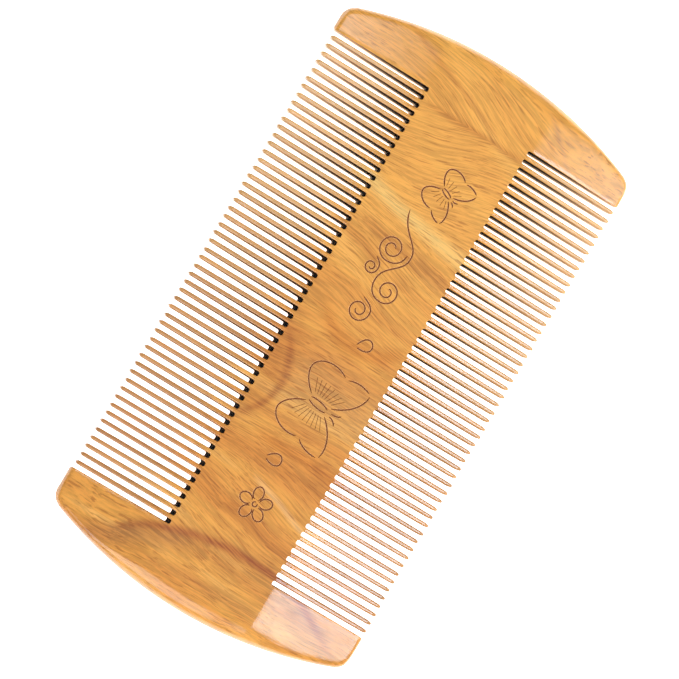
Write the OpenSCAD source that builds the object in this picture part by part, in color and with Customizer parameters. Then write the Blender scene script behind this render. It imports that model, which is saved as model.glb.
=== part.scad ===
// Double-sided fine comb, cut from one board of wood.
// It lies on its back face. X runs along the comb, Y along the teeth and
// Z up through the engraved front face. The origin is at the middle of the
// back face. The board is divided into its working regions, face to face.

/* [Board] */
// Length of the comb, from end to end at its middle
comb_length = 102; // [80:1:160]
// Width of the comb, from guard tip to guard tip
comb_width = 55.2; // [40:0.2:80]
// Width of the solid middle band, from the root of one row of slots to the other
spine_width = 19.2; // [15:0.2:28]
// Thickness of the board along its flat middle band
board_thickness = 5; // [3.6:0.1:8]
// Thickness of the board at the guard tips, where both faces have sloped in
tip_thickness = 2.2; // [1.4:0.1:3.4]
// How far beyond the roots of the slots the two faces stay parallel
flank_start = 0.2; // [0:0.05:2]

/* [Ends] */
// Radius of the arc that shapes each end of the board
end_radius = 74; // [50:1:200]
// Radius of the outer corner of each guard tip
outer_corner_radius = 2.75; // [1:0.25:4]
// Radius of the guard's corner beside its slot
inner_corner_radius = 0.6; // [0.2:0.1:1.2]
// How far the rolled edge of each end reaches in over the faces
edge_roll_width = 3.4; // [1:0.1:5]
// Height of the upright land left at the middle of the rolled edge
edge_land = 0.8; // [0.4:0.1:1.4]
// Least width of the left guard, from the end of the board to the first slot
left_guard_width = 11.1; // [8:0.1:20]
// Least width of the right guard, from the last slot to the end of the board
right_guard_width = 9.75; // [8:0.1:20]

/* [Teeth] */
// Distance from one tooth to the next
tooth_pitch = 1.515; // [1.2:0.005:3]
// Width of the saw cut between two teeth, at its root
slot_width = 0.76; // [0.5:0.02:1.1]
// How far the teeth stop short of the guard tips
tooth_setback = 0.2; // [0:0.05:1]
// Radius of the two corners at the root of each slot
slot_corner_radius = 0.25; // [0.1:0.01:0.25]
// Amount by which a tooth has narrowed where its nose begins
tooth_taper = 0.09; // [0:0.01:0.2]
// Length of the rounded nose of a tooth
nose_length = 0.8; // [0.4:0.05:1.5]
// Width of the small flat at the very end of a tooth
nose_flat = 0.16; // [0.08:0.02:0.2]

/* [Engraving] */
// Width of an engraved line
line_width = 0.28; // [0.16:0.02:0.4]
// Depth of an engraved line
line_depth = 0.2; // [0.1:0.05:0.4]
// Distance across the five-petal flower
flower_size = 5.8; // [4:0.2:9]
// Length of a drifting leaf
leaf_length = 2.9; // [1.5:0.1:5]
// Wing span of the large butterfly
large_wing_span = 13.4; // [8:0.2:16]
// Wing span of the small butterfly
small_wing_span = 7.8; // [5:0.2:12]
// Length of the scrollwork
scroll_length = 20; // [12:0.5:24]

/* [Hidden] */
$fn = 96;

// Room beyond the board, so that a cutting or bounding solid ends clear of it
clear = 2;
// Straight steps in a quarter of the rolled edge, in half of a tooth's nose, in
// an engraved spiral, in an engraved ring, and in long and short engraved curves
roll_steps = 6;
nose_steps = 4;
spiral_steps = 36;
ring_steps = 16;
long_steps = 8;
short_steps = 6;
// Radius at which an engraved spiral starts, as a share of its last radius
spiral_start = 0.25;

half_length = comb_length / 2;
half_width = comb_width / 2;
mid_height = board_thickness / 2;
root_line = spine_width / 2;
spine_edge = root_line + slot_corner_radius;
flat_edge = root_line + flank_start;

// The saw cuts fill the room between the guards, and what is left over is shared by the guards
field_room = comb_length - left_guard_width - right_guard_width;
slot_count = floor((field_room - slot_width) / tooth_pitch) + 1;
field_length = (slot_count - 1) * tooth_pitch + slot_width;
field_left = -half_length + left_guard_width + (field_room - field_length) / 2;
field_right = field_left + field_length;

tooth_width = tooth_pitch - slot_width;
shoulder_width = tooth_width - tooth_taper;
tooth_tip = half_width - tooth_setback;
tooth_shoulder = tooth_tip - nose_length;

// Left edge of a slot, counted from 0
function slot_left(i) = field_left + i * tooth_pitch;

// Places of the engraved motifs along the band, as shares of its length from
// the left, and across it, in mm from the middle, with the turns of those that
// don't stand straight
flower_place = [0.119, -0.6];
first_leaf_place = [0.214, 0.6];
large_butterfly_place = [0.351, -1.2];
second_leaf_place = [0.497, -2.7];
scroll_place = [0.652, 0.4];
small_butterfly_place = [0.84, -1.6];
flower_turn = -8;
first_leaf_turn = 12;
large_butterfly_turn = -10;
second_leaf_turn = 32;
small_butterfly_turn = -24;
large_veins = 8;
small_veins = 5;

// Points of the rolled edge, from the front face down to the land, as [radius, height]
function roll_point(a) = [
    end_radius - edge_roll_width * (1 - cos(a)),
    mid_height + edge_land / 2 + (mid_height - edge_land / 2) * sin(a)
];
function mirror_height(p) = [p[0], board_thickness - p[1]];

// The board's cross-section, the same all along X: parallel faces in the
// middle, and both faces sloping in towards the tips
module wedge() {
    rotate([90, 0, 90])
        linear_extrude(comb_length + 2 * clear, center = true)
            polygon([
                [-half_width, mid_height - tip_thickness / 2],
                [-flat_edge, 0],
                [flat_edge, 0],
                [half_width, mid_height - tip_thickness / 2],
                [half_width, mid_height + tip_thickness / 2],
                [flat_edge, board_thickness],
                [-flat_edge, board_thickness],
                [-half_width, mid_height + tip_thickness / 2]
            ]);
}

// Disc whose rim is the rolled edge of the left end
module end_disc() {
    front = [for (i = [roll_steps:-1:0]) roll_point(90 * i / roll_steps)];
    back = [for (i = [0:roll_steps]) mirror_height(roll_point(90 * i / roll_steps))];
    translate([end_radius - half_length, 0, 0])
        rotate_extrude($fn = 360)
            polygon(concat([[0, 0], [0, board_thickness]], front, back));
}

// Rounds the outer corner of a left guard's upper tip, where the end's arc
// meets the tip: the area outside a circle that touches them both
module outer_corner_cut() {
    arc_centre = [end_radius - half_length, 0];
    drop = half_width - outer_corner_radius;
    run = sqrt(pow(end_radius - outer_corner_radius, 2) - pow(drop, 2));
    centre = [arc_centre[0] - run, drop];
    reach = outer_corner_radius + clear;
    outward = (centre - arc_centre) / norm(centre - arc_centre);
    translate([0, 0, -clear])
        linear_extrude(board_thickness + 2 * clear)
            difference() {
                polygon([
                    centre,
                    centre + outward * reach,
                    centre + [-reach, reach],
                    centre + [0, reach]
                ]);
                translate(centre) circle(outer_corner_radius);
            }
}

// Rounds the corner between a guard's tip and its slot, for a slot wall at x
module inner_corner_cut(x) {
    centre = [x - inner_corner_radius, half_width - inner_corner_radius];
    translate([centre[0], centre[1], -clear])
        linear_extrude(board_thickness + 2 * clear)
            difference() {
                square(inner_corner_radius + clear);
                circle(inner_corner_radius);
            }
}

// A guard drawn as the left one, whose slot wall stands at x
module guard(x) {
    difference() {
        intersection() {
            wedge();
            end_disc();
            translate([-half_length - clear, -half_width - clear, -clear])
                cube([
                    half_length + clear + x,
                    comb_width + 2 * clear,
                    board_thickness + 2 * clear
                ]);
        }
        for (side = [0, 1])
            mirror([0, side, 0]) {
                outer_corner_cut();
                inner_corner_cut(x);
            }
    }
}

// The rounded end of one slot, from its root line outwards
module slot_end() {
    translate([slot_corner_radius, slot_corner_radius])
        circle(slot_corner_radius);
    translate([slot_width - slot_corner_radius, slot_corner_radius])
        circle(slot_corner_radius);
    translate([slot_corner_radius, 0])
        square([slot_width - 2 * slot_corner_radius, slot_corner_radius + clear]);
    translate([0, slot_corner_radius])
        square([slot_width, clear]);
}

// One tooth seen from the front, rooted at y = 0 and centred on x = 0
module tooth_plan(root) {
    shoulder = tooth_shoulder - root;
    right_side = [for (i = [0:nose_steps]) [
        nose_flat / 2 + (shoulder_width - nose_flat) / 2 * cos(90 * i / nose_steps),
        shoulder + nose_length * sin(90 * i / nose_steps)
    ]];
    left_side = [for (i = [nose_steps:-1:0]) [-right_side[i][0], right_side[i][1]]];
    polygon(concat(
        [[-tooth_width / 2, 0], [tooth_width / 2, 0]],
        right_side,
        left_side
    ));
}

// One row of teeth, drawn on the +Y side
module tooth_row() {
    intersection() {
        wedge();
        for (i = [0:slot_count - 2])
            translate([slot_left(i) + slot_width + tooth_width / 2, spine_edge, -clear])
                linear_extrude(board_thickness + 2 * clear)
                    tooth_plan(spine_edge);
    }
}

// Points of a cubic curve with the four control points in p
function curve(p, steps) = [
    for (i = [0:steps])
        let (t = i / steps, s = 1 - t)
            s * s * s * p[0] + 3 * s * s * t * p[1] + 3 * s * t * t * p[2] + t * t * t * p[3]
];

// Points of a spiral that unwinds from its centre and ends at an angle, with
// turn 1 for anticlockwise and -1 for clockwise
function spiral(centre, radius, turns, end_angle, turn) = [
    for (i = [0:spiral_steps])
        let (
            t = i / spiral_steps,
            a = end_angle - turn * 360 * turns * (1 - t),
            r = radius * (spiral_start + (1 - spiral_start) * t)
        ) centre + r * [cos(a), sin(a)]
];

// Points of an open ring, from one angle to another
function ring(half_x, half_y, from, to) = [
    for (i = [0:ring_steps])
        let (a = from + (to - from) * i / ring_steps)
            [half_x * cos(a), half_y * sin(a)]
];

function unit(v) = v / norm(v);

// Half a line's width to the left of a path, at one of its points
function side_step(path, i) =
    let (
        along = unit(path[min(i + 1, len(path) - 1)] - path[max(i - 1, 0)])
    ) [-along[1], along[0]] * line_width / 2;

// One engraved line along a path, as an area
module stroke(path) {
    last = len(path) - 1;
    polygon(concat(
        [for (i = [0:last]) path[i] + side_step(path, i)],
        [for (i = [last:-1:0]) path[i] - side_step(path, i)]
    ));
}

// Flower of open petals round a small eye, the first petal turned a little
// from +X. Each petal and the eye leave a gap where their line would close
module flower(size, petals = 5) {
    petal_length = 0.38 * size;
    petal_width = 0.3 * size;
    eye = 0.07 * size;
    first_turn = 18;
    petal_gap = 20;
    eye_gap = 40;
    for (k = [0:petals - 1])
        rotate(first_turn + 360 * k / petals)
            translate([(size - petal_length) / 2, 0])
                stroke(ring(petal_length / 2, petal_width / 2, petal_gap - 180, 180 - petal_gap));
    stroke(ring(eye, eye, 0, 360 - eye_gap));
}

// Leaf that comes to an open point at its +Y end
module leaf(length) {
    belly = 0.44 * length;
    gap = 36;
    stroke([
        for (i = [0:ring_steps])
            let (a = gap + (360 - 2 * gap) * i / ring_steps)
                [belly * sin(a) * sin(a / 2), length / 2 * cos(a)]
    ]);
}

// Butterfly with its head towards -Y, symmetrical about Y. Its paths are
// drawn for a wing span of 1, and a fan of veins springs from each side of it
module butterfly(span, veins) {
    vein_length = 0.17;
    first_vein = [0.095, 0.13];
    first_angle = 32;
    vein_spread = 0.25;
    fan_angle = 70;
    body = [0.042, 0.145];
    body_arc = 62;
    trailing_wing = concat(
        curve([[0.05, 0.15], [0.15, 0.33], [0.3, 0.42], [0.39, 0.34]], long_steps),
        curve([[0.415, 0.318], [0.48, 0.25], [0.52, 0.09], [0.455, -0.04]], long_steps)
    );
    leading_edge = curve([[0.06, -0.15], [0.14, -0.29], [0.29, -0.44], [0.475, -0.42]], long_steps);
    outer_edge = curve([[0.5, -0.39], [0.52, -0.3], [0.52, -0.18], [0.455, -0.09]], short_steps);
    feeler = curve([[0.02, -0.19], [0.02, -0.25], [0.045, -0.29], [0.075, -0.31]], short_steps);
    for (side = [0, 1])
        mirror([side, 0]) {
            for (path = [trailing_wing, leading_edge, outer_edge, feeler])
                stroke(span * path);
            stroke(span * ring(body[0], body[1], -body_arc, body_arc));
            for (i = [0:veins - 1]) {
                share = i / (veins - 1);
                root = first_vein - [0, vein_spread * share];
                angle = first_angle - fan_angle * share;
                stroke([
                    span * root,
                    span * (root + vein_length * [cos(angle), sin(angle)])
                ]);
            }
        }
}

// Scrollwork: a wave with four spirals springing from it. Its paths are drawn
// for a length of 1
module scrollwork(length) {
    wave = concat(
        curve([[-0.26, -0.075], [-0.26, 0.01], [-0.19, 0.05], [-0.12, 0.045]], long_steps),
        curve([[-0.09, 0.042], [0.01, 0.02], [0.05, -0.12], [0.15, -0.12]], long_steps),
        curve([[0.18, -0.12], [0.29, -0.11], [0.32, 0.06], [0.5, 0.09]], long_steps)
    );
    first_tail = curve([[-0.38, -0.06], [-0.33, -0.055], [-0.31, 0.0], [-0.29, 0.05]], short_steps);
    small_tail = curve([[-0.03, 0.07], [0.0, 0.072], [0.02, 0.09], [0.04, 0.13]], short_steps);
    large_tail = curve([[0.05, 0.045], [0.05, -0.03], [0.09, -0.08], [0.17, -0.085]], short_steps);
    stroke(length * concat(spiral([-0.16, -0.09], 0.1, 1.5, 180, -1), wave));
    stroke(length * concat(spiral([-0.4, 0.035], 0.095, 1.5, -90, 1), first_tail));
    stroke(length * concat(spiral([-0.05, 0.13], 0.06, 1.4, -90, 1), small_tail));
    stroke(length * concat(spiral([0.16, 0.055], 0.11, 1.7, 180, 1), large_tail));
}

// Moves a motif to its place on the band and turns it
module at(place, turn = 0) {
    translate([field_left + place[0] * field_length, place[1]])
        rotate(turn)
            children();
}

// Everything that is cut into the front face
module engraving() {
    translate([0, 0, board_thickness - line_depth])
        linear_extrude(line_depth + clear) {
            at(flower_place, flower_turn) flower(flower_size);
            at(first_leaf_place, first_leaf_turn) leaf(leaf_length);
            at(large_butterfly_place, large_butterfly_turn)
                butterfly(large_wing_span, large_veins);
            at(second_leaf_place, second_leaf_turn) leaf(leaf_length);
            at(scroll_place) scrollwork(scroll_length);
            at(small_butterfly_place, small_butterfly_turn)
                butterfly(small_wing_span, small_veins);
        }
}

// The middle band seen from the front, with the slot ends cut into it
module spine_plan() {
    difference() {
        translate([field_left, -spine_edge])
            square([field_length, 2 * spine_edge]);
        for (side = [0, 1], i = [0:slot_count - 1])
            mirror([0, side])
                translate([slot_left(i), root_line])
                    slot_end();
    }
}

module spine() {
    color("#e0a458")
        difference() {
            intersection() {
                wedge();
                translate([0, 0, -clear])
                    linear_extrude(board_thickness + 2 * clear)
                        spine_plan();
            }
            engraving();
        }
}

module left_guard() {
    color("#d3934a")
        guard(field_left);
}

module right_guard() {
    color("#c98740")
        mirror([1, 0, 0])
            guard(-field_right);
}

module upper_teeth() {
    color("#e6b064")
        tooth_row();
}

module lower_teeth() {
    color("#eab874")
        mirror([0, 1, 0])
            tooth_row();
}

spine();
left_guard();
right_guard();
upper_teeth();
lower_teeth();
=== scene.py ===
import math

import bmesh
import bpy
from mathutils import Matrix, Vector


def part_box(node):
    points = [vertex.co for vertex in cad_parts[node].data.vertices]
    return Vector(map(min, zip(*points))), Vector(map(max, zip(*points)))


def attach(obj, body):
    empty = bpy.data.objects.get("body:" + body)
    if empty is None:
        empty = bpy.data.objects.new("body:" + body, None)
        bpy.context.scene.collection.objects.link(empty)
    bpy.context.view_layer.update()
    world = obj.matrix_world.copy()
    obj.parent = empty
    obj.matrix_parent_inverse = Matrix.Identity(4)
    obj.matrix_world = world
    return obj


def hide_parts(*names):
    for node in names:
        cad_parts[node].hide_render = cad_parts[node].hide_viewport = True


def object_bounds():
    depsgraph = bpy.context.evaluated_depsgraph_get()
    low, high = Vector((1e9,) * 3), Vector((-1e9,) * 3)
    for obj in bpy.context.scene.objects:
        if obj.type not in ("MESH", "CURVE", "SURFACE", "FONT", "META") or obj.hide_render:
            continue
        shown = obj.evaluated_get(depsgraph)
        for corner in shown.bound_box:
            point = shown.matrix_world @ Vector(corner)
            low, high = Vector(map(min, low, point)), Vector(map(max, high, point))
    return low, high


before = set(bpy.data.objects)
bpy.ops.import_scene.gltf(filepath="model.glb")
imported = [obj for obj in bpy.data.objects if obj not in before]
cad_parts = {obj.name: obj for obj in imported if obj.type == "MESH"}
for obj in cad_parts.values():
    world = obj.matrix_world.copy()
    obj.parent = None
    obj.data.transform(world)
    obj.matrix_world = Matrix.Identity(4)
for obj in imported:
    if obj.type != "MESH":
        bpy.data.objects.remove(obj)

# Sizes in the dictionaries are millimetres and degrees. Meshes are built in metres.
mm = 0.001
cadLow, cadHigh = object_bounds()
scene = bpy.context.scene
scene.view_settings.view_transform = "Standard"

# the looks stay this far inside the CAD sizes
inside = 0.001
halfLength = (cadHigh.x - cadLow.x) / 2 / mm - inside
halfWidth = (cadHigh.y - cadLow.y) / 2 / mm - inside
thickness = (cadHigh.z - cadLow.z) / mm - 2 * inside
middle = (cadHigh.z + cadLow.z) / 2 / mm
spineLow, spineHigh = (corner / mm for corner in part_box("spine"))
teethLow, teethHigh = (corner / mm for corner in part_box("upper_teeth"))


# ---- small helpers ----

def linearColour(hexCode):
    # sRGB hex to the linear values that sockets expect
    parts = [int(hexCode[i:i + 2], 16) / 255 for i in (1, 3, 5)]
    return tuple(p / 12.92 if p <= 0.04045 else ((p + 0.055) / 1.055) ** 2.4 for p in parts) + (1.0,)


def addNode(tree, kind, settings=None, inputs=()):
    # settings are the node's own options; inputs go by name or in order, and each is a value, a socket, or a node
    # whose first output is meant
    node = tree.nodes.new(kind)
    for name, value in (settings or {}).items():
        setattr(node, name, value)
    for key, value in inputs.items() if isinstance(inputs, dict) else enumerate(inputs):
        if isinstance(value, bpy.types.Node):
            value = value.outputs[0]
        if isinstance(value, bpy.types.NodeSocket):
            tree.links.new(value, node.inputs[key])
        else:
            node.inputs[key].default_value = value
    return node


def newObject(name, mesh, materials=()):
    obj = bpy.data.objects.new(name, mesh)
    scene.collection.objects.link(obj)
    for material in materials:
        mesh.materials.append(material)
    return obj


def meshFromBmesh(name, bm):
    # one closed shell with its faces outwards, in metres
    bmesh.ops.remove_doubles(bm, verts=bm.verts, dist=0.0005)
    bmesh.ops.recalc_face_normals(bm, faces=bm.faces)
    if bm.calc_volume(signed=True) < 0:
        bmesh.ops.reverse_faces(bm, faces=bm.faces)
    for edge in bm.edges:
        edge.smooth = edge.calc_face_angle(math.pi) < math.radians(50)
    bmesh.ops.scale(bm, vec=(mm, mm, mm), verts=bm.verts)
    mesh = bpy.data.meshes.new(name)
    bm.to_mesh(mesh)
    bm.free()
    return mesh


def bakeModifiers(obj):
    # the finished shape becomes a plain mesh, and the modifiers go
    graph = bpy.context.evaluated_depsgraph_get()
    mesh = bpy.data.meshes.new_from_object(obj.evaluated_get(graph), depsgraph=graph)
    obj.modifiers.clear()
    obj.data = mesh
    return obj


def setInput(obj, modifier, label, value):
    # a Geometry Nodes input is set by its socket's identifier
    sockets = modifier.node_group.interface.items_tree
    identifier = next(s.identifier for s in sockets if s.name == label and s.in_out == "INPUT")
    modifier[identifier] = value


# ---- camera ----

shot = {
    "place": (-31.73, 99.97, 511.7),
    "aim": (-0.566, 0.766, 2.5),
    "roll": -59.23,
    "focalLength": 171.66,
    "sensorWidth": 36,
}


def makeCamera():
    data = bpy.data.cameras.new("studioCamera")
    data.lens = shot["focalLength"]
    data.sensor_width = shot["sensorWidth"]
    data.clip_start, data.clip_end = 0.05, 50
    camera = bpy.data.objects.new("studioCamera", data)
    scene.collection.objects.link(camera)
    back = (Vector(shot["place"]) - Vector(shot["aim"])).normalized()
    right = (Vector((1, 0, 0)) - back * back.x).normalized()
    up = back.cross(right)
    roll = math.radians(shot["roll"])
    frameRight = right * math.cos(roll) + up * math.sin(roll)
    frameUp = up * math.cos(roll) - right * math.sin(roll)
    turn = Matrix((frameRight, frameUp, back)).transposed().to_4x4()
    camera.matrix_world = Matrix.Translation(Vector(shot["place"]) * mm) @ turn
    scene.camera = camera


makeCamera()
print("camera ready")


# ---- the board's section ----

board = {
    "tipThickness": 2.2,
    "flankStart": 0.2,       # the faces stay parallel this far past the slot roots
    "creaseSoftness": 0.9,   # the crease where they start to slope is sanded over this width
    "cornerRadius": 0.25,    # at the root of each slot
    "edgeEase": 0.09,        # sharp edges are broken by this much
    "slotCount": 54,
}
spineEdge = spineHigh.y
rootLine = spineEdge - board["cornerRadius"]
fieldLeft, fieldRight = spineLow.x, spineHigh.x
slotWidth = teethLow.x - fieldLeft
toothPitch = (fieldRight - fieldLeft - slotWidth) / (board["slotCount"] - 1)
toothWidth = toothPitch - slotWidth
toothTip = teethHigh.y


def halfThickness(y):
    # level in the middle band, then a straight slope to the tips, with a soft crease between
    start = rootLine + board["flankStart"]
    soft = board["creaseSoftness"]
    slope = (thickness - board["tipThickness"]) / 2 / (halfWidth - start - soft / 2)
    past = max(0.0, abs(y) - start)
    drop = slope * past * past / (2 * soft) if past < soft else slope * (past - soft / 2)
    return thickness / 2 - drop


# ---- materials ----

# Sandalwood, planed and sanded along the grain, then buffed with a little wax: a golden body with brown bands,
# reddish streaks, fine dark pores and a clear soft shine that shows the pores.
wood = {
    "brown": "#da8d3a",
    "body": "#e49943",
    "gold": "#eda74a",
    "light": "#f8b960",
    "pore": "#9a4f1c",
    "sunny": "#fcb855",
    # edge: the colour of the painted shade on steep ends and tips
    "edge": "#82522a",
    # the tone the teeth turn to towards their tips: partly their own and partly painted sheen
    "leftToothToneAndSheen": "#bf8a5c",
    "rightToothToneAndSheen": "#f3c689",
    "ior": 1.5,
    "roughness": 0.45,
    "shine": 0.2,
    "wax": 0.9,
    "coatRoughness": 0.13,
    "poreDepth": 0.02,
    "warp": 2.2,            # the grain wanders this far
    "warpScale": 0.07,
    "bandScale": (0.20, 0.022, 0.16),
    "fibreScale": (3.0, 0.15, 2.4),
    "poreScale": (5.0, 0.22, 4.0),
}

# Streaks in the wood. Each is a line with a lean and a bow, in mm: "Y" runs along the teeth and "X" across them,
# "at" is where its middle crosses, "middle" is how far along it that is, and "reach" is its half length.
streaks = [
    {"runs": "Y", "at": -39.0, "middle": -2.7, "lean": 0, "bow": -0.0165,
     "reach": 27, "width": 4.4, "colour": "#b8783a", "strength": 0.5},
    {"runs": "Y", "at": -37.9, "middle": -2.7, "lean": 0, "bow": -0.0165,
     "reach": 25, "width": 1.3, "colour": "#a85426", "strength": 0.75},
    {"runs": "Y", "at": -44.0, "middle": 14, "lean": -0.45, "bow": 0,
     "reach": 10, "width": 3.0, "colour": "#ae7240", "strength": 0.5},
    {"runs": "Y", "at": -45.5, "middle": -2, "lean": 0, "bow": 0,
     "reach": 12, "width": 1.6, "colour": "#b8763a", "strength": 0.4},
    {"runs": "X", "at": 7.6, "middle": -11.0, "lean": 0, "bow": 0.03,
     "reach": 13, "width": 4.0, "colour": "#bd702f", "strength": 0.38},
    {"runs": "X", "at": 5.6, "middle": -11.0, "lean": 0, "bow": 0.06,
     "reach": 9, "width": 1.2, "colour": "#a85a22", "strength": 0.6},
    {"runs": "Y", "at": -10.0, "middle": -4, "lean": 0, "bow": 0,
     "reach": 12, "width": 8.5, "colour": "#c8945c", "strength": 0.4},
    {"runs": "Y", "at": -20.6, "middle": -4, "lean": 0.05, "bow": 0,
     "reach": 11, "width": 1.9, "colour": "#d8842f", "strength": 0.7},
    {"runs": "Y", "at": -1.0, "middle": -1.5, "lean": 0, "bow": 0.06,
     "reach": 10, "width": 2.7, "colour": "#d9852e", "strength": 0.65},
    {"runs": "X", "at": 8.6, "middle": 1, "lean": 0, "bow": 0,
     "reach": 7, "width": 3.2, "colour": "#b36a2e", "strength": 0.15},
    {"runs": "Y", "at": 16.4, "middle": -1.5, "lean": 0.15, "bow": 0,
     "reach": 13, "width": 2.2, "colour": "#b0642a", "strength": 0.5},
    {"runs": "Y", "at": 14.5, "middle": 7, "lean": 0.3, "bow": 0,
     "reach": 6, "width": 1.8, "colour": "#c47a32", "strength": 0.6},
    {"runs": "Y", "at": 22.0, "middle": 0, "lean": 0.16, "bow": 0,
     "reach": 17, "width": 2.3, "colour": "#ffd078", "strength": 0.85},
    {"runs": "Y", "at": -28.6, "middle": -5.5, "lean": 0.35, "bow": 0,
     "reach": 8, "width": 0.9, "colour": "#f9c078", "strength": 0.75},
    {"runs": "Y", "at": -33.5, "middle": -4.0, "lean": 0.3, "bow": 0,
     "reach": 8, "width": 1.0, "colour": "#b8702f", "strength": 0.5},
    {"runs": "Y", "at": 39.2, "middle": -1, "lean": -0.03, "bow": 0,
     "reach": 12, "width": 1.0, "colour": "#c67a30", "strength": 0.55},
    {"runs": "Y", "at": 44.8, "middle": 7, "lean": 0.38, "bow": 0,
     "reach": 13, "width": 0.8, "colour": "#c27834", "strength": 0.5},
    {"runs": "X", "at": -14.0, "middle": 44.5, "lean": 1.1, "bow": 0,
     "reach": 5, "width": 1.0, "colour": "#cf9056", "strength": 0.4},
]


def millimetreCoordinates(tree):
    place = addNode(tree, "ShaderNodeTexCoord")
    return addNode(tree, "ShaderNodeVectorMath", {"operation": "SCALE"}, {
        0: place.outputs["Object"], "Scale": 1 / mm}).outputs[0]


# Settings that many nodes share. A soft step takes a value, where it starts and ends, and the result at each. A mix
# of colours has its factor at input 0, its colours at 6 and 7, and its result at output 2.
softStep = {"interpolation_type": "SMOOTHSTEP"}
colourMix = {"data_type": "RGBA"}
colourTimes = {"data_type": "RGBA", "blend_type": "MULTIPLY"}


def streakMask(tree, x, y, breakup, streak):
    across, along = (x, y) if streak["runs"] == "Y" else (y, x)
    shift = addNode(tree, "ShaderNodeMath", {"operation": "SUBTRACT"}, (along, streak["middle"]))
    bowed = addNode(tree, "ShaderNodeMath", {"operation": "MULTIPLY_ADD"}, (shift, streak["bow"], streak["lean"]))
    line = addNode(tree, "ShaderNodeMath", {"operation": "MULTIPLY_ADD"}, (bowed, shift, streak["at"]))
    apart = addNode(tree, "ShaderNodeMath", {"operation": "SUBTRACT"}, (across, line))
    near = addNode(tree, "ShaderNodeMath", {"operation": "ABSOLUTE"}, (apart,))
    far = addNode(tree, "ShaderNodeMath", {"operation": "ABSOLUTE"}, (shift,))
    body = addNode(tree, "ShaderNodeMapRange", softStep, (near, 0, streak["width"], streak["strength"], 0.0))
    ends = addNode(tree, "ShaderNodeMapRange", softStep, (far, streak["reach"] * 0.55, streak["reach"], 1.0, 0.0))
    kept = addNode(tree, "ShaderNodeMath", {"operation": "MULTIPLY"}, (body, ends))
    return addNode(tree, "ShaderNodeMath", {"operation": "MULTIPLY", "use_clamp": True}, (kept, breakup))


# How the grain leans, as steps of slope from one X to another. The broad bands turn slowly. The fibres turn quickly
# and meet in a herringbone beside the right guard.
bandSteps = [(-34, -12, 0.2, 0.0), (-6, 18, 0.0, 0.3), (22, 50, 0.0, 0.4)]
fibreSteps = [(-48, -36, 0.0, 0.32), (-28, -17, 0.0, -0.32), (-2, 6, 0.0, 0.3), (14, 32, 0.0, -0.65),
              (39.1, 39.3, 0.0, 0.9), (42, 53, 0.0, -0.5)]


def leaningGrain(tree, parts, steps):
    lean = 0
    for low, high, start, end in steps:
        step = addNode(tree, "ShaderNodeMapRange", softStep, (parts["X"], low, high, start, end))
        lean = addNode(tree, "ShaderNodeMath", {"operation": "ADD"}, (step, lean))
    # past the band the grain gradually stands up again
    held = addNode(tree, "ShaderNodeMapRange", softStep, (parts["Y"], -16, 16, -10, 10))
    offset = addNode(tree, "ShaderNodeMath", {"operation": "MULTIPLY"}, (lean, held))
    across = addNode(tree, "ShaderNodeMath", {"operation": "SUBTRACT"}, (parts["X"], offset))
    return addNode(tree, "ShaderNodeCombineXYZ", inputs=(across, parts["Y"], parts["Z"]))


def grainNodes(tree):
    # true millimetres, and the same warped a little
    place = millimetreCoordinates(tree)
    wander = addNode(tree, "ShaderNodeTexNoise", inputs={
        "Vector": place, "Scale": wood["warpScale"], "Detail": 1.5}).outputs["Color"]
    centred = addNode(tree, "ShaderNodeVectorMath", {"operation": "SUBTRACT"}, {
        0: wander, 1: (0.5, 0.5, 0.5)}).outputs[0]
    warped = addNode(tree, "ShaderNodeVectorMath", {"operation": "MULTIPLY_ADD"}, {
        0: centred, 1: (wood["warp"],) * 3, 2: place}).outputs[0]
    return place, addNode(tree, "ShaderNodeSeparateXYZ", inputs={0: warped}).outputs


def grainNoise(tree, grain, scale, detail, roughness):
    squeezed = addNode(tree, "ShaderNodeVectorMath", {"operation": "MULTIPLY"}, {0: grain, 1: scale}).outputs[0]
    return addNode(tree, "ShaderNodeTexNoise", inputs={
        "Vector": squeezed, "Scale": 1.0, "Detail": detail, "Roughness": roughness}).outputs["Fac"]


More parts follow.
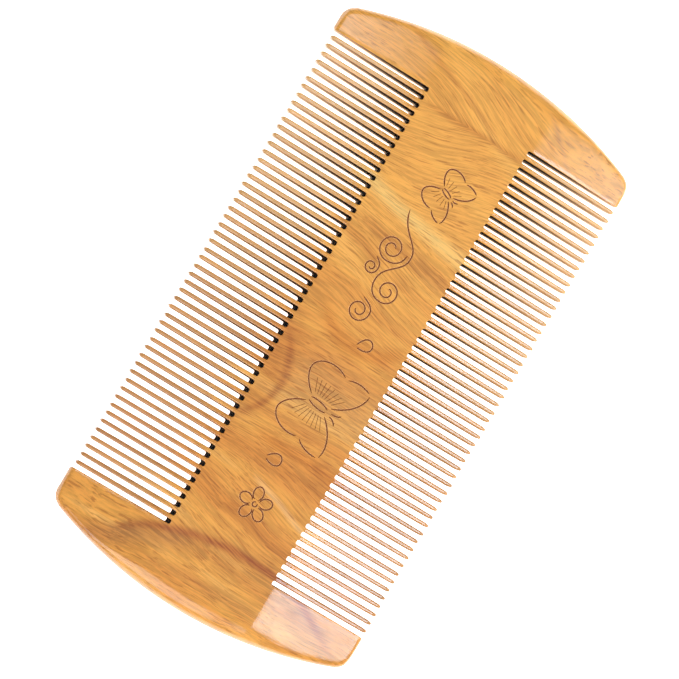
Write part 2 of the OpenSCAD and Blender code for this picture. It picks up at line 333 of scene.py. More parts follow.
def buffedSandalwood():
    material = bpy.data.materials.new("buffedSandalwood")
    material.use_nodes = True
    tree = material.node_tree
    shader = tree.nodes["Principled BSDF"]
    place, parts = grainNodes(tree)
    bands = grainNoise(tree, leaningGrain(tree, parts, bandSteps), wood["bandScale"], 3, 0.55)
    grain = leaningGrain(tree, parts, fibreSteps)
    fibres = grainNoise(tree, grain, wood["fibreScale"], 4, 0.65)
    pores = grainNoise(tree, grain, wood["poreScale"], 2, 0.5)
    ramp = addNode(tree, "ShaderNodeValToRGB", inputs={0: bands})
    stops = ramp.color_ramp.elements
    stops[0].position, stops[0].color = 0.32, linearColour(wood["brown"])
    stops[1].position, stops[1].color = 0.7, linearColour(wood["light"])
    for position, tone in ((0.44, "body"), (0.57, "gold")):
        stops.new(position).color = linearColour(wood[tone])
    colour = ramp.outputs["Color"]
    golden = addNode(tree, "ShaderNodeMapRange", softStep, (parts["X"], -10, 30, 0.0, 0.62))
    colour = addNode(tree, "ShaderNodeMix", colourMix, {
        0: golden, 6: colour, 7: linearColour(wood["sunny"])}).outputs[2]
    breakup = addNode(tree, "ShaderNodeMapRange", softStep, (fibres, 0.35, 0.65, 1.2, 0.75))
    for streak in streaks:
        mask = streakMask(tree, parts["X"], parts["Y"], breakup, streak)
        colour = addNode(tree, "ShaderNodeMix", colourMix, {
            0: mask, 6: colour, 7: linearColour(streak["colour"])}).outputs[2]
    light = addNode(tree, "ShaderNodeMapRange", softStep, (fibres, 0.37, 0.63, 0.84, 1.14))
    grey = addNode(tree, "ShaderNodeCombineXYZ", inputs=(light, light, light))
    colour = addNode(tree, "ShaderNodeMix", colourTimes, {0: 1.0, 6: colour, 7: grey}).outputs[2]
    pored = addNode(tree, "ShaderNodeMapRange", softStep, (pores, 0.56, 0.67, 0.0, 0.5))
    colour = addNode(tree, "ShaderNodeMix", colourMix, {
        0: pored, 6: colour, 7: linearColour(wood["pore"])}).outputs[2]
    # the teeth differ a little from one to the next, and towards their tips they turn to a greyer tone that changes
    # from left to right: partly their own tone and partly a painted reflection of the sheen on their sloping faces
    plain = addNode(tree, "ShaderNodeSeparateXYZ", inputs=(place,)).outputs
    outwards = addNode(tree, "ShaderNodeMath", {"operation": "ABSOLUTE"}, (plain["Y"],))
    fromLeft = addNode(tree, "ShaderNodeMapRange", softStep, (plain["X"], fieldLeft, fieldLeft + 0.5))
    fromRight = addNode(tree, "ShaderNodeMapRange", softStep, (plain["X"], fieldRight - 0.5, fieldRight, 1.0, 0.0))
    inField = addNode(tree, "ShaderNodeMath", {"operation": "MULTIPLY"}, (fromLeft, fromRight))
    tipToneAndSheen = addNode(tree, "ShaderNodeMapRange", softStep, (outwards, spineEdge, spineEdge + 8, 0.0, 0.65))
    along = addNode(tree, "ShaderNodeMath", {"operation": "MULTIPLY"}, (tipToneAndSheen, inField))
    rightwards = addNode(tree, "ShaderNodeMapRange", softStep, (plain["X"], fieldLeft, fieldRight))
    toothToneAndSheen = addNode(tree, "ShaderNodeMix", colourMix, {
        0: rightwards, 6: linearColour(wood["leftToothToneAndSheen"]), 7: linearColour(wood["rightToothToneAndSheen"])}).outputs[2]
    colour = addNode(tree, "ShaderNodeMix", colourMix, {0: along, 6: colour, 7: toothToneAndSheen}).outputs[2]
    count = addNode(tree, "ShaderNodeMath", {"operation": "MULTIPLY_ADD"}, (
        plain["X"], 1 / toothPitch, -fieldLeft / toothPitch))
    number = addNode(tree, "ShaderNodeMath", {"operation": "FLOOR"}, (count,))
    chance = addNode(tree, "ShaderNodeTexWhiteNoise", {"noise_dimensions": "1D"}, {"W": number}).outputs["Value"]
    shade = addNode(tree, "ShaderNodeMapRange", inputs={"Value": chance, "To Min": 0.88, "To Max": 1.1})
    pastRoot = addNode(tree, "ShaderNodeMapRange", softStep, (outwards, spineEdge, spineEdge + 2))
    onTooth = addNode(tree, "ShaderNodeMath", {"operation": "MULTIPLY"}, (pastRoot, inField))
    shades = addNode(tree, "ShaderNodeCombineXYZ", inputs=(shade, shade, shade))
    tinted = addNode(tree, "ShaderNodeMix", colourTimes, {0: 1.0, 6: colour, 7: shades}).outputs[2]
    colour = addNode(tree, "ShaderNodeMix", colourMix, {0: onTooth, 6: colour, 7: tinted}).outputs[2]
    # steep surfaces at the ends and tips are painted darker: painted shade where they turn away from the light
    surface = addNode(tree, "ShaderNodeNewGeometry")
    facing = addNode(tree, "ShaderNodeSeparateXYZ", inputs=(surface.outputs["True Normal"],))
    upright = addNode(tree, "ShaderNodeMath", {"operation": "ABSOLUTE"}, (facing.outputs["Z"],))
    steepShade = addNode(tree, "ShaderNodeMapRange", softStep, (upright, 0.1, 0.7, 0.85, 0.0))
    colour = addNode(tree, "ShaderNodeMix", colourMix, {
        0: steepShade, 6: colour, 7: linearColour(wood["edge"])}).outputs[2]
    relief = addNode(tree, "ShaderNodeMath", {"operation": "ADD"}, (fibres, pores))
    bump = addNode(tree, "ShaderNodeBump", inputs={
        "Height": relief, "Strength": 0.35, "Distance": wood["poreDepth"] * mm})
    tree.links.new(colour, shader.inputs["Base Color"])
    tree.links.new(bump.outputs[0], shader.inputs["Normal"])
    tree.links.new(bump.outputs[0], shader.inputs["Coat Normal"])
    shader.inputs["IOR"].default_value = wood["ior"]
    shader.inputs["Roughness"].default_value = wood["roughness"]
    shader.inputs["Specular IOR Level"].default_value = wood["shine"]
    shader.inputs["Coat Weight"].default_value = wood["wax"]
    shader.inputs["Coat Roughness"].default_value = wood["coatRoughness"]
    return material


# The slot walls: near black and dull at the root, lighter brown towards the tips.
kerf = {
    "darkAtRoot": "#140803",
    "sawn": "#b98a5e",
    "paintedFootLight": "#fbeedd",      # painted light: the foot of each wall is painted near white where light from the table would reach it
    "leftPaintedLightHeight": 0.8,        # the painted light reaches higher towards the right, where the walls face the open side of the table
    "rightPaintedLightHeight": 3.6,
}


def sawnWall():
    material = bpy.data.materials.new("sawnSlotWall")
    material.use_nodes = True
    tree = material.node_tree
    shader = tree.nodes["Principled BSDF"]
    place = millimetreCoordinates(tree)
    parts = addNode(tree, "ShaderNodeSeparateXYZ", inputs={0: place}).outputs
    outwards = addNode(tree, "ShaderNodeMath", {"operation": "ABSOLUTE"}, (parts["Y"],))
    towardsTip = addNode(tree, "ShaderNodeMapRange", softStep, (outwards, spineEdge + 2, toothTip))
    colour = addNode(tree, "ShaderNodeMix", colourMix, {
        0: towardsTip, 6: linearColour(kerf["darkAtRoot"]), 7: linearColour(kerf["sawn"])}).outputs[2]
    # height above the sloping underside
    slope = (thickness - board["tipThickness"]) / 2 / (halfWidth - rootLine)
    lowered = addNode(tree, "ShaderNodeMath", {"operation": "MULTIPLY_ADD"}, (outwards, -slope, parts["Z"]))
    base = -slope * rootLine
    reach = addNode(tree, "ShaderNodeMapRange", softStep, (
        parts["X"], fieldLeft, fieldRight, kerf["leftPaintedLightHeight"] + base, kerf["rightPaintedLightHeight"] + base))
    paintedFootLight = addNode(tree, "ShaderNodeMapRange", softStep, (lowered, base, reach, 1.0, 0.0))
    atRight = addNode(tree, "ShaderNodeMapRange", softStep, (parts["X"], 0, fieldRight))
    pastRoot = addNode(tree, "ShaderNodeMapRange", softStep, (outwards, spineEdge, spineEdge + 1.5))
    past = addNode(tree, "ShaderNodeMath", {"operation": "MAXIMUM"}, (pastRoot, atRight))
    low = addNode(tree, "ShaderNodeMath", {"operation": "MULTIPLY"}, (paintedFootLight, past))
    # painted light: the foot of each wall turns near white, reaching higher towards the right
    colour = addNode(tree, "ShaderNodeMix", colourMix, {
        0: low, 6: colour, 7: linearColour(kerf["paintedFootLight"])}).outputs[2]
    tree.links.new(colour, shader.inputs["Base Color"])
    shader.inputs["Roughness"].default_value = 0.9
    shader.inputs["Specular IOR Level"].default_value = 0.1
    return material


# The engraving: lines burnt brown, with a pale lip on each side, painted pale as a highlight where the lip catches
# the light.
def plainWood(name, colour, roughness):
    material = bpy.data.materials.new(name)
    material.use_nodes = True
    shader = material.node_tree.nodes["Principled BSDF"]
    shader.inputs["Base Color"].default_value = linearColour(colour)
    shader.inputs["Roughness"].default_value = roughness
    return material


buffedWood = buffedSandalwood()
sawnKerf = sawnWall()
engravedLine = plainWood("engravedLine", "#8a4c20", 0.8)
# painted highlight: the lip's pale colour stands in for light caught on the edges of each line
engravedLipHighlight = plainWood("engravedLipHighlight", "#efb679", 0.5)
print("materials ready")


# ---- spine ----

def slotEndOutline(index):
    # one rounded slot end on the +Y side, from its right to its left, as (point, direction into the wood). The two
    # corners beside the guards keep their full shape, so their direction is nil.
    radius = board["cornerRadius"]
    left = fieldLeft + index * toothPitch
    right = left + slotWidth
    points = []
    for centre, start, atGuard in (
        (right - radius, 0, index == board["slotCount"] - 1),
        (left + radius, 90, index == 0),
    ):
        for step in range(6):
            angle = math.radians(start + 18 * step)
            outward = Vector((math.cos(angle), -math.sin(angle)))
            points.append((Vector((centre, spineEdge)) + outward * radius, outward * (0 if atGuard else 1)))
    return points


def spineOutline():
    # the upper side from right to left, then the lower side back again
    upper = []
    for index in reversed(range(board["slotCount"])):
        upper += slotEndOutline(index)
    lower = [(Vector((point.x, -point.y)), Vector((outward.x, -outward.y))) for point, outward in reversed(upper)]
    return upper + lower


def makeSpine():
    outline = spineOutline()
    half = len(outline) // 2
    ease = board["edgeEase"]
    levels = []
    for step in range(4):
        angle = math.radians(30 * step)
        levels.append((thickness / 2 - ease * (1 - math.sin(angle)), ease * (1 - math.cos(angle))))
    levels = [(-h, inset) for h, inset in reversed(levels)] + levels
    bm = bmesh.new()
    rings = []
    for height, inset in levels:
        rings.append([bm.verts.new((p.x + d.x * inset, p.y + d.y * inset, middle + height)) for p, d in outline])
    # both faces are built from strips that run from each edge to a line down the middle
    centreLines = {}
    for ring in (rings[0], rings[-1]):
        line = [bm.verts.new((v.co.x, 0, v.co.z)) for v in ring[:half]]
        for side in (ring[:half], ring[:half - 1:-1]):
            for i in range(half - 1):
                bm.faces.new((side[i], side[i + 1], line[i + 1], line[i]))
        centreLines[ring[0]] = line
    wallLevel = len(levels) // 2 - 1
    for level, (low, high) in enumerate(zip(rings, rings[1:])):
        for i in range(len(outline)):
            j = (i + 1) % len(outline)
            lowEdge, highEdge = [low[i], low[j]], [high[j], high[i]]
            if i in (half - 1, len(outline) - 1):
                end = -1 if i == half - 1 else 0
                if low is rings[0]:
                    lowEdge.insert(1, centreLines[low[0]][end])
                if high is rings[-1]:
                    highEdge.insert(1, centreLines[high[0]][end])
            face = bm.faces.new(lowEdge + highEdge)
            face.smooth = level != wallLevel
            atSlot = (i % 12) != 11
            face.material_index = 1 if atSlot and level == wallLevel else 0
    return newObject("spineBand", meshFromBmesh("spineBand", bm), [buffedWood, sawnKerf])


# ---- engraving ----

engraving = {
    "lineWidth": 0.28,
    "lineDepth": 0.2,
    "endTaper": 0.35,        # a line thins out over this much at each end
    "lipWidth": 0.52,
    "lipDepth": 0.05,
    "raised": 0.03,          # the cutter's widest part stays this far clear of the face
    "flowerSize": 5.8,
    "leafLength": 2.9,
    "largeSpan": 13.4,
    "smallSpan": 7.8,
    "scrollLength": 20.0,
}


def bezier(a, b, c, d, steps):
    a, b, c, d = Vector(a), Vector(b), Vector(c), Vector(d)
    points = []
    for i in range(steps + 1):
        t = i / steps
        s = 1 - t
        points.append(a * s ** 3 + b * 3 * s * s * t + c * 3 * s * t * t + d * t ** 3)
    return points


def spiral(centre, radius, turns, endAngle, turn, steps=36):
    points = []
    for i in range(steps + 1):
        t = i / steps
        angle = math.radians(endAngle - turn * 360 * turns * (1 - t))
        r = radius * (0.25 + 0.75 * t)
        points.append(Vector(centre) + r * Vector((math.cos(angle), math.sin(angle))))
    return points


def ring(halfX, halfY, start, end, steps=16):
    points = []
    for i in range(steps + 1):
        angle = math.radians(start + (end - start) * i / steps)
        points.append(Vector((halfX * math.cos(angle), halfY * math.sin(angle))))
    return points


def flowerPaths(size):
    # five open petals round a small eye
    reach = size / 2 - 0.19 * size
    paths = [ring(0.07 * size, 0.07 * size, 0, 320, 10)]
    for k in range(5):
        turn = Matrix.Rotation(math.radians(18 + 72 * k), 2)
        petal = ring(0.19 * size, 0.15 * size, 200, 520)
        paths.append([turn @ (p + Vector((reach, 0))) for p in petal])
    return paths


def leafPaths(length):
    points = []
    for i in range(19):
        angle = math.radians(36 + 16 * i)
        points.append(Vector((0.44 * length * math.sin(angle) * math.sin(angle / 2), length / 2 * math.cos(angle))))
    return [points]


def butterflyPaths(span, veins):
    # symmetrical about Y, head towards -Y, drawn for a span of 1
    half = [
        bezier((0.05, 0.15), (0.15, 0.33), (0.3, 0.42), (0.39, 0.34), 8)
        + bezier((0.415, 0.318), (0.48, 0.25), (0.52, 0.09), (0.455, -0.04), 8),
        bezier((0.06, -0.15), (0.14, -0.29), (0.29, -0.44), (0.475, -0.42), 8),
        bezier((0.5, -0.39), (0.52, -0.3), (0.52, -0.18), (0.455, -0.09), 6),
        bezier((0.02, -0.19), (0.02, -0.25), (0.045, -0.29), (0.075, -0.31), 4),
        ring(0.042, 0.145, -62, 62),
    ]
    for i in range(veins):
        share = i / (veins - 1)
        root = Vector((0.095, 0.13 - 0.25 * share))
        angle = math.radians(32 - 70 * share)
        half.append([root, root + 0.17 * Vector((math.cos(angle), math.sin(angle)))])
    mirrored = [[Vector((-p.x, p.y)) for p in path] for path in half]
    return [[p * span for p in path] for path in half + mirrored]


def scrollPaths(length):
    # a wave with four spirals springing from it, drawn for a length of 1
    wave = (
        bezier((-0.26, -0.075), (-0.26, 0.01), (-0.19, 0.05), (-0.12, 0.045), 8)
        + bezier((-0.09, 0.042), (0.01, 0.02), (0.05, -0.12), (0.15, -0.12), 10)
        + bezier((0.18, -0.12), (0.29, -0.11), (0.32, 0.06), (0.5, 0.09), 10)
    )
    paths = [
        spiral((-0.16, -0.09), 0.1, 1.5, 180, -1) + wave,
        spiral((-0.4, 0.035), 0.095, 1.5, -90, 1)
        + bezier((-0.38, -0.06), (-0.33, -0.055), (-0.31, 0.0), (-0.29, 0.05), 6),
        spiral((-0.05, 0.13), 0.06, 1.4, -90, 1)
        + bezier((-0.03, 0.07), (0.0, 0.072), (0.02, 0.09), (0.04, 0.13), 6),
        spiral((0.16, 0.055), 0.11, 1.7, 180, 1)
        + bezier((0.05, 0.045), (0.05, -0.03), (0.09, -0.08), (0.17, -0.085), 6),
    ]
    return [[p * length for p in path] for path in paths]


# each motif: its paths, its place as a share of the band's length and as a height, and its turn
motifs = [
    (flowerPaths(engraving["flowerSize"]), 0.119, -0.6, -8),
    (leafPaths(engraving["leafLength"]), 0.214, 0.6, 12),
    (butterflyPaths(engraving["largeSpan"], 8), 0.351, -1.2, -10),
    (leafPaths(engraving["leafLength"]), 0.497, -2.7, 32),
    (scrollPaths(engraving["scrollLength"]), 0.652, 0.4, 0),
    (butterflyPaths(engraving["smallSpan"], 5), 0.84, -1.6, -24),
]


def engravedPaths():
    placed = []
    for paths, share, height, turn in motifs:
        centre = Vector((fieldLeft + share * (fieldRight - fieldLeft), height))
        rotation = Matrix.Rotation(math.radians(turn), 2)
        placed += [[centre + rotation @ p for p in path] for path in paths]
    return placed


def pathMesh(paths, height):
    mesh = bpy.data.meshes.new("engravedPaths")
    points, edges = [], []
    for path in paths:
        first = len(points)
        points += [(p.x * mm, p.y * mm, height * mm) for p in path]
        edges += [(first + i, first + i + 1) for i in range(len(path) - 1)]
    mesh.from_pydata(points, edges, [])
    return mesh


def grooveTree():
    # sweeps a kite-shaped cutter along every path, thinner at both ends of a line
    tree = bpy.data.node_groups.new("grooveCutter", "GeometryNodeTree")
    tree.interface.new_socket("Paths", in_out="INPUT", socket_type="NodeSocketGeometry")
    for label in ("Line Width", "Line Depth", "End Taper"):
        tree.interface.new_socket(label, in_out="INPUT", socket_type="NodeSocketFloat")
    tree.interface.new_socket("Finish", in_out="INPUT", socket_type="NodeSocketMaterial")
    tree.interface.new_socket("Cutter", in_out="OUTPUT", socket_type="NodeSocketGeometry")
    given = addNode(tree, "NodeGroupInput")
    curve = addNode(tree, "GeometryNodeMeshToCurve", inputs={"Mesh": given.outputs["Paths"]})
    along = addNode(tree, "GeometryNodeSplineParameter")
    whole = addNode(tree, "GeometryNodeSplineLength")
    rest = addNode(tree, "ShaderNodeMath", {"operation": "SUBTRACT"}, (
        whole.outputs["Length"], along.outputs["Length"]))
    nearest = addNode(tree, "ShaderNodeMath", {"operation": "MINIMUM"}, (rest, along.outputs["Length"]))
    thin = addNode(tree, "ShaderNodeMapRange", inputs={
        "Value": nearest, "From Max": given.outputs["End Taper"], "To Min": 0.45, "To Max": 1.0})
    sized = addNode(tree, "GeometryNodeSetCurveRadius", inputs={
        "Curve": curve.outputs["Curve"], "Radius": thin.outputs["Result"]})
    level = addNode(tree, "GeometryNodeSetCurveNormal", {"mode": "Z_UP"}, {"Curve": sized.outputs["Curve"]})
    kite = addNode(tree, "GeometryNodeCurvePrimitiveQuadrilateral", {"mode": "KITE"}, {
        "Width": given.outputs["Line Width"], "Bottom Height": given.outputs["Line Depth"],
        "Top Height": given.outputs["Line Depth"]})
    swept = addNode(tree, "GeometryNodeCurveToMesh", inputs={
        "Curve": level.outputs["Curve"], "Profile Curve": kite.outputs["Curve"],
        "Scale": thin.outputs["Result"], "Fill Caps": True})
    real = addNode(tree, "GeometryNodeRealizeInstances", inputs={"Geometry": swept.outputs["Mesh"]})
    finished = addNode(tree, "GeometryNodeSetMaterial", inputs={
        "Geometry": real.outputs["Geometry"], "Material": given.outputs["Finish"]})
    addNode(tree, "NodeGroupOutput", inputs={"Cutter": finished.outputs["Geometry"]})
    return tree


def cutEngraving(spine):
    tree = grooveTree()
    paths = engravedPaths()
    for label, width, depth, finish in (
        ("lip", engraving["lipWidth"], engraving["lipDepth"], engravedLipHighlight),
        ("groove", engraving["lineWidth"], engraving["lineDepth"], engravedLine),
    ):
        cutter = newObject(label + "Cutter", pathMesh(paths, cadHigh.z / mm + engraving["raised"]))
        modifier = cutter.modifiers.new("sweep", "NODES")
        modifier.node_group = tree
        setInput(cutter, modifier, "Line Width", width * mm)
        setInput(cutter, modifier, "Line Depth", (depth + engraving["raised"]) * mm)
        setInput(cutter, modifier, "End Taper", engraving["endTaper"] * mm)
        setInput(cutter, modifier, "Finish", finish)
        bakeModifiers(cutter)
        cut = spine.modifiers.new("engrave", "BOOLEAN")
        cut.operation = "DIFFERENCE"
        cut.solver = "EXACT"
        cut.use_self = True
        cut.material_mode = "TRANSFER"
        cut.object = cutter
        bakeModifiers(spine)
        bpy.data.objects.remove(cutter)
    return spine


spine = cutEngraving(makeSpine())
print("spine ready:", len(spine.data.polygons), "faces")


# ---- guards ----

guard = {
    "endRadius": 74,
    "outerCorner": 2.75,
    "innerCorner": 0.6,
    "edgeRoll": 3.4,     # the polished end rolls over this far in at its middle
    "tipEdgeRoll": 1.1,  # and only this far beside the tips
    "rollStart": 6,      # the change from one to the other starts here
    "rollFade": 14,      # and takes this long
    "tipRoll": 0.8,      # the guard's tips roll over this far
    "rollSteps": 12,
    "tipSteps": 9,
    "acrossSteps": 10,
    "alongSteps": 64,
}


def rollShare(distance, width):
    # quarter of an ellipse: 0 at the edge, 1 from width inwards
    t = min(max(distance / width, 0.0), 1.0)
    return math.sqrt(max(0.0, 1 - (1 - t) ** 2))


def outerEdge(y):
    # distance from the board's middle to the end's edge at height y, and the cosine of the edge's lean there
    radius, corner = guard["endRadius"], guard["outerCorner"]
    centre = halfLength - radius
    filletY = halfWidth - corner
    filletX = centre + math.sqrt((radius - corner) ** 2 - filletY ** 2)
    y = abs(y)
    if y <= filletY * radius / (radius - corner):
        return centre + math.sqrt(radius ** 2 - y ** 2), math.sqrt(radius ** 2 - y ** 2) / radius
    run = math.sqrt(max(0.0, corner ** 2 - (y - filletY) ** 2))
    return filletX + run, run / corner


def innerEdge(y, slotWall):
    # distance from the board's middle to the slot wall, rounded at the guard's tip
    corner = guard["innerCorner"]
    past = max(0.0, abs(y) - (halfWidth - corner))
    return slotWall + corner - math.sqrt(max(0.0, corner ** 2 - past ** 2))


def makeGuard(name, side, slotWall):
    ys = [halfWidth * (1 - 2 * i / guard["alongSteps"]) for i in range(guard["alongSteps"] + 1)]
    tip = guard["tipRoll"]
    ys = [y for y in ys if abs(y) < halfWidth - tip]
    for step in range(guard["tipSteps"] + 1):
        y = halfWidth - tip + tip * math.sin(math.radians(90 * step / guard["tipSteps"]))
        ys += [y, -y]
    crease = rootLine + board["flankStart"]
    for edge in (rootLine, spineEdge, crease, crease + board["creaseSoftness"] / 2):
        ys += [edge, -edge]
    ys = sorted(set(round(y, 4) for y in ys))
    bm = bmesh.new()
    top, bottom = [], []
    for y in ys:
        inner, (outer, lean) = innerEdge(y, slotWall), outerEdge(y)
        ease = board["edgeEase"] * min(1.0, max(0.0, (abs(y) - rootLine) / board["cornerRadius"]))
        towardsTip = min(max((abs(y) - guard["rollStart"]) / guard["rollFade"], 0.0), 1.0)
        towardsTip = towardsTip * towardsTip * (3 - 2 * towardsTip)
        roll = guard["edgeRoll"] + (guard["tipEdgeRoll"] - guard["edgeRoll"]) * towardsTip
        roll = min(roll / max(lean, 0.4), (outer - inner) * 0.8)
        xs = [inner + ease * t for t in (0, 0.13, 0.5, 1)]
        level = outer - roll
        start, across = xs[-1], guard["acrossSteps"]
        xs += [start + (level - start) * (i + 1) / across for i in range(across)]
        turns = [math.radians(90 * (i + 1) / guard["rollSteps"]) for i in range(guard["rollSteps"])]
        xs += [level + roll * math.sin(turn) for turn in turns]
        full = halfThickness(y) * rollShare(halfWidth - abs(y), guard["tipRoll"])
        topRow, bottomRow = [], []
        for k, x in enumerate(xs):
            height = full * rollShare(outer - x, roll)
            if k < 3 and ease > 0:
                t = (x - inner) / ease
                height -= min(ease, height) * (1 - math.sqrt(max(0.0, 1 - (1 - t) ** 2)))
            topRow.append(bm.verts.new((side * x, y, middle + height)))
            bottomRow.append(bm.verts.new((side * x, y, middle - height)))
        top.append(topRow)
        bottom.append(bottomRow)
    for v in range(len(ys) - 1):
        for u in range(len(top[0]) - 1):
            for rows in (top, bottom):
                bm.faces.new((rows[v][u], rows[v][u + 1], rows[v + 1][u + 1], rows[v + 1][u])).smooth = True
        wall = bm.faces.new((top[v][0], top[v + 1][0], bottom[v + 1][0], bottom[v][0]))
        wall.material_index = 1 if abs(ys[v] + ys[v + 1]) / 2 > rootLine else 0
    return newObject(name, meshFromBmesh(name, bm), [buffedWood, sawnKerf])


leftGuard = makeGuard("leftEnd", -1, -fieldLeft)
rightGuard = makeGuard("rightEnd", 1, fieldRight)
print("guards ready")


# ---- teeth ----

tooth = {
    "taper": 0.09,        # narrower by this where the nose begins
    "noseLength": 0.8,
    "noseFlat": 0.16,
    "edgeEase": 0.19,
    "tipEase": 0.23,      # the edges are more worn towards the tip
    "lengthChange": 0.006,
    "widthChange": 0.04,
    "lean": 0.22,
}


def makeTooth():
    # one tooth rooted at the origin and pointing along +Y, lofted through rounded rectangles
    length = teethHigh.y - spineEdge
    shoulder = length - tooth["noseLength"]
    stations = [(shoulder * i / 8, 1.0) for i in range(9)]
    for step in range(1, 7):
        angle = math.radians(90 * step / 6)
        stations.append((shoulder + tooth["noseLength"] * math.sin(angle), math.cos(angle)))
    bm = bmesh.new()
    rings = []
    for along, nose in stations:
        share = min(along / shoulder, 1.0)
        flat = tooth["noseFlat"] / 2
        halfX = (toothWidth - tooth["taper"] * share) / 2
        halfX = flat + (halfX - flat) * nose
        halfZ = halfThickness(spineEdge + along)
        halfZ = halfZ * (0.35 + 0.65 * math.sqrt(nose)) if nose < 1 else halfZ
        ease = min(tooth["edgeEase"] + (tooth["tipEase"] - tooth["edgeEase"]) * share ** 2, halfX * 0.8)
        section = []
        for cornerX, cornerZ, start in ((1, 1, 0), (-1, 1, 90), (-1, -1, 180), (1, -1, 270)):
            for step in range(4):
                angle = math.radians(start + 30 * step)
                x = cornerX * (halfX - ease) + ease * math.cos(angle)
                z = cornerZ * (halfZ - ease) + ease * math.sin(angle)
                section.append(bm.verts.new((x, along, z)))
        rings.append(section)
    count = len(rings[0])
    for low, high in zip(rings, rings[1:]):
        for i in range(count):
            j = (i + 1) % count
            face = bm.faces.new((low[i], low[j], high[j], high[i]))
            face.smooth = i % 4 != 3
    bm.faces.new(rings[0])
    bm.faces.new(rings[-1])
    return newObject("toothPattern", meshFromBmesh("toothPattern", bm), [buffedWood])


def teethTree():
    # a row of teeth, each a little different in length, width and lean
    tree = bpy.data.node_groups.new("toothRow", "GeometryNodeTree")
    sockets = (
        ("Tooth", "NodeSocketObject"), ("Count", "NodeSocketInt"), ("Pitch", "NodeSocketFloat"),
        ("Start", "NodeSocketVector"), ("Turn", "NodeSocketFloat"), ("Lean", "NodeSocketFloat"),
        ("Smallest", "NodeSocketVector"), ("Largest", "NodeSocketVector"), ("Seed", "NodeSocketInt"),
        ("Face Finish", "NodeSocketMaterial"), ("Kerf Finish", "NodeSocketMaterial"),
    )
    tree.interface.new_socket("Geometry", in_out="INPUT", socket_type="NodeSocketGeometry")
    for label, kind in sockets:
        tree.interface.new_socket(label, in_out="INPUT", socket_type=kind)
    tree.interface.new_socket("Row", in_out="OUTPUT", socket_type="NodeSocketGeometry")
    given = addNode(tree, "NodeGroupInput").outputs
    step = addNode(tree, "ShaderNodeCombineXYZ", inputs={"X": given["Pitch"]})
    line = addNode(tree, "GeometryNodeMeshLine", {"mode": "OFFSET"}, {
        "Count": given["Count"], "Start Location": given["Start"], "Offset": step.outputs[0]})
    shape = addNode(tree, "GeometryNodeObjectInfo", inputs={"Object": given["Tooth"]})
    backLean = addNode(tree, "ShaderNodeMath", {"operation": "MULTIPLY"}, (given["Lean"], -1.0))
    lean = addNode(tree, "FunctionNodeRandomValue", {"data_type": "FLOAT"}, {
        2: backLean, 3: given["Lean"], "Seed": given["Seed"]})
    turned = addNode(tree, "ShaderNodeMath", {"operation": "ADD"}, (lean.outputs[1], given["Turn"]))
    spin = addNode(tree, "ShaderNodeCombineXYZ", inputs={"Z": turned})
    size = addNode(tree, "FunctionNodeRandomValue", {"data_type": "FLOAT_VECTOR"}, {
        0: given["Smallest"], 1: given["Largest"], "Seed": given["Seed"]})
    placed = addNode(tree, "GeometryNodeInstanceOnPoints", inputs={
        "Points": line.outputs["Mesh"], "Instance": shape.outputs["Geometry"],
        "Rotation": spin.outputs[0], "Scale": size.outputs[0]})
    real = addNode(tree, "GeometryNodeRealizeInstances", inputs={"Geometry": placed.outputs["Instances"]})
    faced = addNode(tree, "GeometryNodeSetMaterial", inputs={
        "Geometry": real.outputs["Geometry"], "Material": given["Face Finish"]})
    normal = addNode(tree, "GeometryNodeInputNormal")
    facing = addNode(tree, "ShaderNodeSeparateXYZ", inputs={0: normal.outputs[0]})
    sideways = addNode(tree, "ShaderNodeMath", {"operation": "ABSOLUTE"}, (facing.outputs["X"],))
    isWall = addNode(tree, "FunctionNodeCompare", {"operation": "GREATER_THAN"}, {0: sideways, 1: 0.97})
    kerfed = addNode(tree, "GeometryNodeSetMaterial", inputs={
        "Geometry": faced.outputs["Geometry"], "Selection": isWall.outputs[0], "Material": given["Kerf Finish"]})
    addNode(tree, "NodeGroupOutput", inputs={"Row": kerfed.outputs["Geometry"]})
    return tree


def makeTeeth(name, side, tree, pattern, seed):
    row = newObject(name, bpy.data.meshes.new(name))
    modifier = row.modifiers.new("row", "NODES")
    modifier.node_group = tree
    start = Vector((teethLow.x + toothWidth / 2, side * spineEdge, middle)) * mm
    narrow, wide = 1 - tooth["widthChange"], 1 + tooth["widthChange"] / 2
    short, long = 1 - tooth["lengthChange"], 1 + tooth["lengthChange"]
    setInput(row, modifier, "Tooth", pattern)
    setInput(row, modifier, "Count", board["slotCount"] - 1)
    setInput(row, modifier, "Pitch", toothPitch * mm)
    setInput(row, modifier, "Start", start)
    setInput(row, modifier, "Turn", 0.0 if side > 0 else math.pi)
    setInput(row, modifier, "Lean", math.radians(tooth["lean"]))
    setInput(row, modifier, "Smallest", Vector((narrow, short, 1)))
    setInput(row, modifier, "Largest", Vector((wide, long, 1)))
    setInput(row, modifier, "Seed", seed)
    setInput(row, modifier, "Face Finish", buffedWood)
    setInput(row, modifier, "Kerf Finish", sawnKerf)
    return bakeModifiers(row)


toothPattern = makeTooth()
rowTree = teethTree()
upperTeeth = makeTeeth("upperRow", 1, rowTree, toothPattern, 3)
lowerTeeth = makeTeeth("lowerRow", -1, rowTree, toothPattern, 11)
bpy.data.objects.remove(toothPattern)
print("teeth ready:", len(upperTeeth.data.polygons), "faces a row")


# ---- studio ----

studio = {
    "floorSize": 6.0,
    "worldColour": "#ffffff",
    "worldStrength": 0.24,
    "floorColour": "#ffffff",
    "floorRoughness": 0.9,
    "floorGlow": 1.5,
    "floorDrop": 0.2,     # the sheet lies this far under the comb, in mm
}

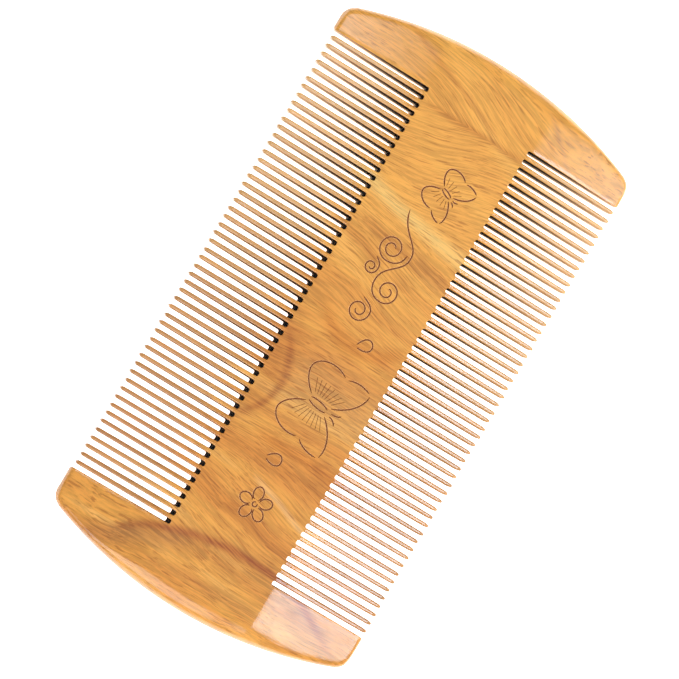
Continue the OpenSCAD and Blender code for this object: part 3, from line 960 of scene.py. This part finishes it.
# Soft boxes: place and size in metres, and power in watts. The key and the side box face the comb. The others hang
# level: the two low ones shine in the lower slopes and the one overhead in the upper slope at the right.
softboxes = {
    "keyBox": {"place": (0.3, -0.7, 0.75), "size": (0.6, 0.5),
        "power": 6.1, "colour": "#fdfaf4", "level": False},
    "sideBox": {"place": (-0.6, -0.02, 0.55), "size": (0.36, 0.6),
        "power": 2.7, "colour": "#fbf4ff", "level": False},
    "lowLeftBox": {"place": (0.01, -0.367, 0.85), "size": (0.22, 0.14),
        "power": 1.3, "colour": "#dcecff", "level": True},
    "lowRightBox": {"place": (0.165, -0.44, 0.85), "size": (0.09, 0.14),
        "power": 0.3, "colour": "#dcecff", "level": True},
    "overheadBox": {"place": (0.16, 0.085, 0.85), "size": (0.1, 0.12),
        "power": 0.34, "colour": "#d8ecff", "level": True},
}


def makeFloor():
    mesh = bpy.data.meshes.new("floorSheet")
    half = studio["floorSize"] / 2
    mesh.from_pydata([(-half, -half, 0), (half, -half, 0), (half, half, 0), (-half, half, 0)], [], [(0, 1, 2, 3)])
    floor = newObject("floorSheet", mesh)
    material = bpy.data.materials.new("paleFloor")
    material.use_nodes = True
    shader = material.node_tree.nodes["Principled BSDF"]
    shader.inputs["Base Color"].default_value = linearColour(studio["floorColour"])
    shader.inputs["Roughness"].default_value = studio["floorRoughness"]
    shader.inputs["Emission Color"].default_value = linearColour(studio["floorColour"])
    shader.inputs["Emission Strength"].default_value = studio["floorGlow"]
    mesh.materials.append(material)
    floor.location.z = -studio["floorDrop"] * mm


def makeSoftbox(name, box):
    data = bpy.data.lights.new(name, "AREA")
    data.shape = "RECTANGLE"
    data.size, data.size_y = box["size"]
    data.energy = box["power"]
    data.color = linearColour(box["colour"])[:3]
    light = bpy.data.objects.new(name, data)
    scene.collection.objects.link(light)
    light.location = box["place"]
    if not box["level"]:
        light.rotation_euler = (-Vector(box["place"])).to_track_quat("-Z", "Y").to_euler()


def makeWorld():
    world = bpy.data.worlds.new("studioWorld")
    world.use_nodes = True
    background = world.node_tree.nodes["Background"]
    background.inputs["Color"].default_value = linearColour(studio["worldColour"])
    background.inputs["Strength"].default_value = studio["worldStrength"]
    scene.world = world


makeFloor()
makeWorld()
for name, box in softboxes.items():
    makeSoftbox(name, box)
print("studio ready")

for piece, node in (
    (spine, "spine"), (leftGuard, "left_guard"), (rightGuard, "right_guard"),
    (upperTeeth, "upper_teeth"), (lowerTeeth, "lower_teeth"),
):
    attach(piece, "root")
    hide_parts(node)
